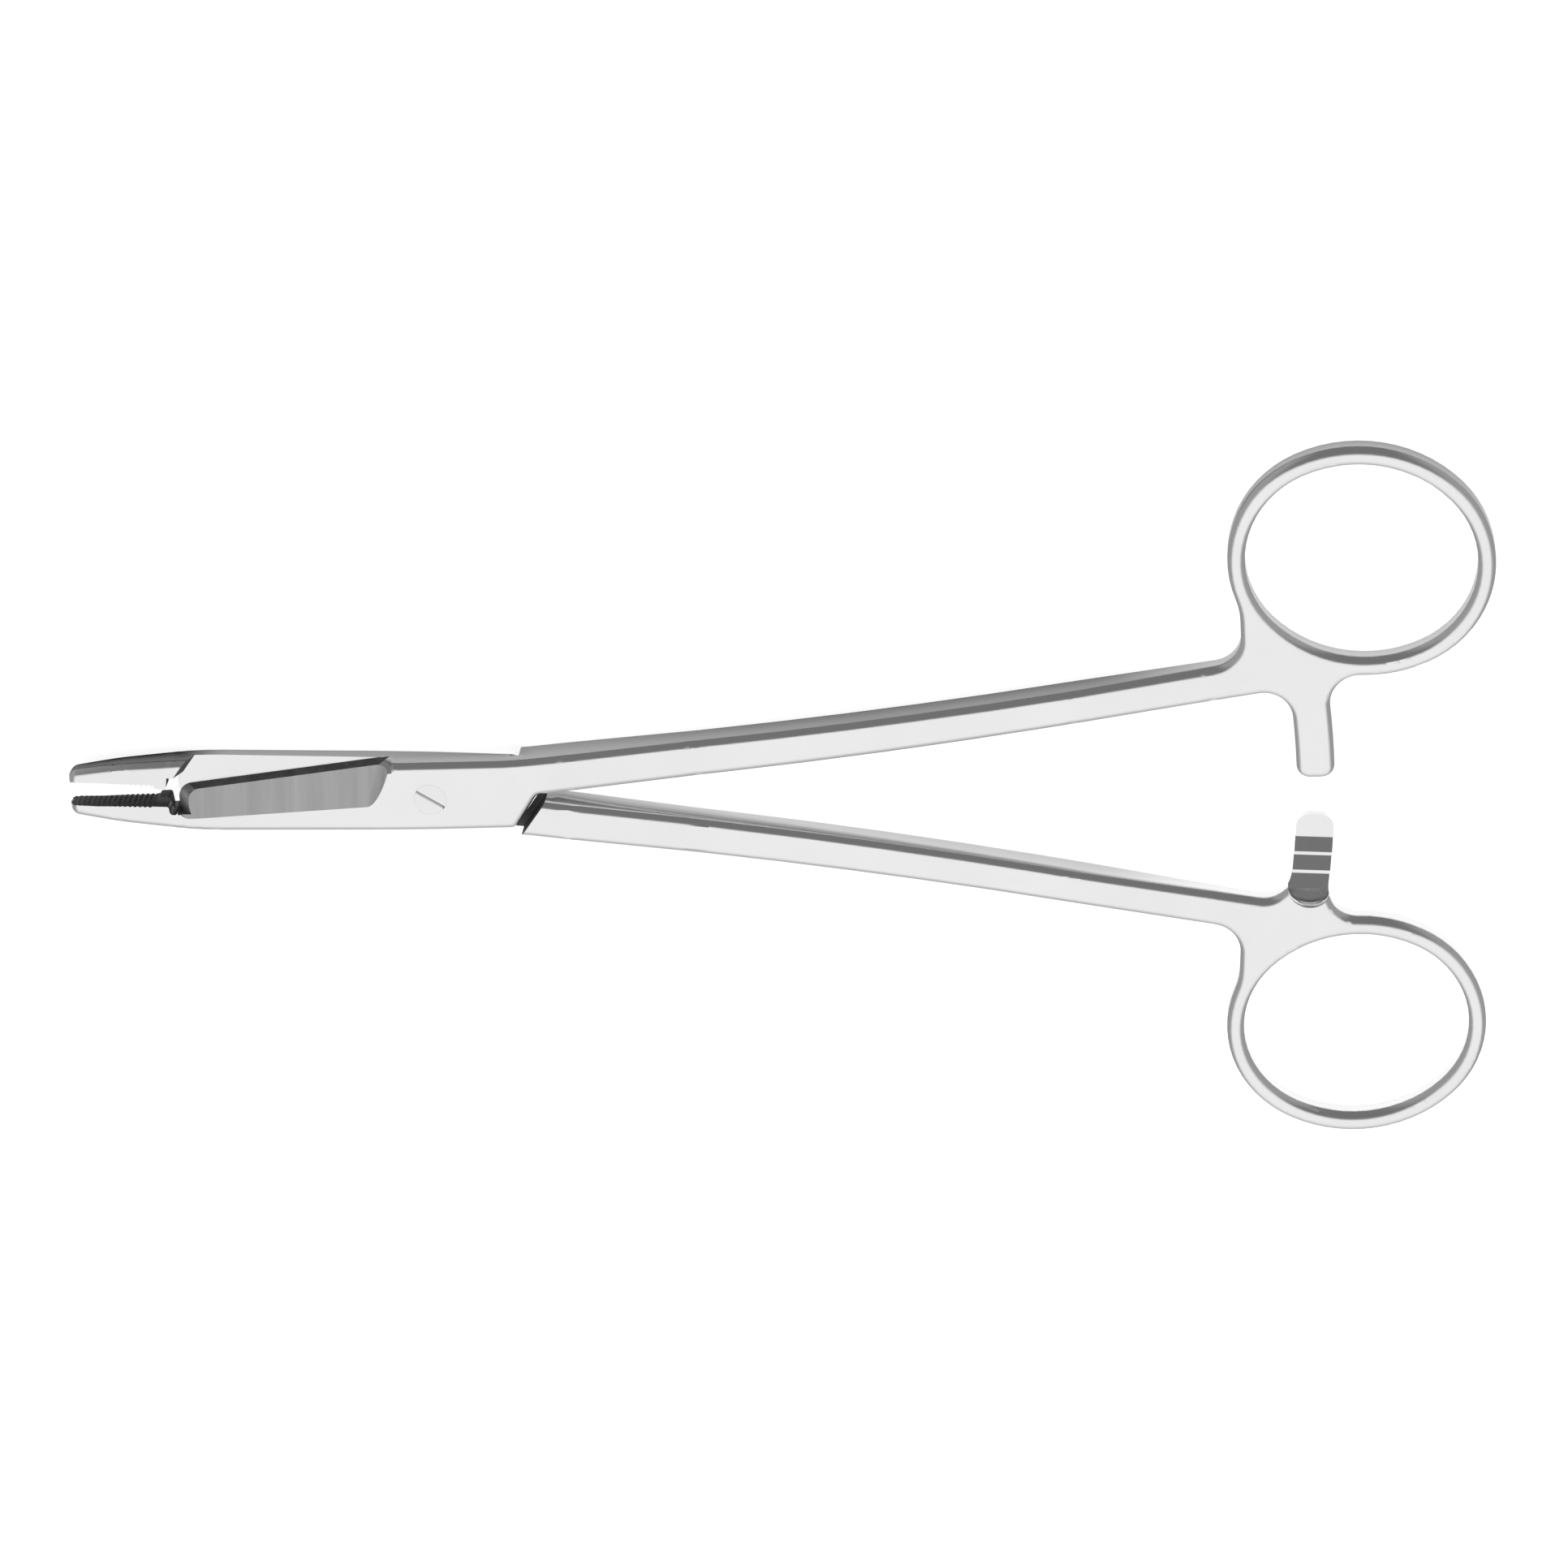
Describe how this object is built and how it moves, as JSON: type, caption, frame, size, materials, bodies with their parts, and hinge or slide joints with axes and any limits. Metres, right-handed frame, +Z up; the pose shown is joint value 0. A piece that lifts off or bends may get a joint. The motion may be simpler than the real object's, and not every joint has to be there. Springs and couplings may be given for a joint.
{
  "type": "needle holder",
  "caption": "Hand-held surgical needle holder with cross-serrated jaws, scissor blades behind them, a screwed lap joint, ring handles and a toothed ratchet catch.",
  "frame": {"origin": "joint axis on the flat back face that the instrument rests on", "axes": "+X from the joint towards the rings, +Y towards the front limb's ring, +Z up along the joint axis"},
  "size_m": [0.1652, 0.0862, 0.0051],
  "materials": {
    "steel": "satin stainless steel, fine grain",
    "screw_steel": "turned stainless steel, polished flush"
  },
  "bodies": {
    "rear": {"rear_limb": "steel", "pivot_screw": "screw_steel"},
    "front": {"front_limb": "steel"}
  },
  "joints": [
    {"name": "limb_pivot", "type": "hinge", "parent": "rear", "child": "front", "pos_m": [0, 0, 0], "axis": [0, 0, 1], "range_deg": [-3.6, 60]}
  ]
}
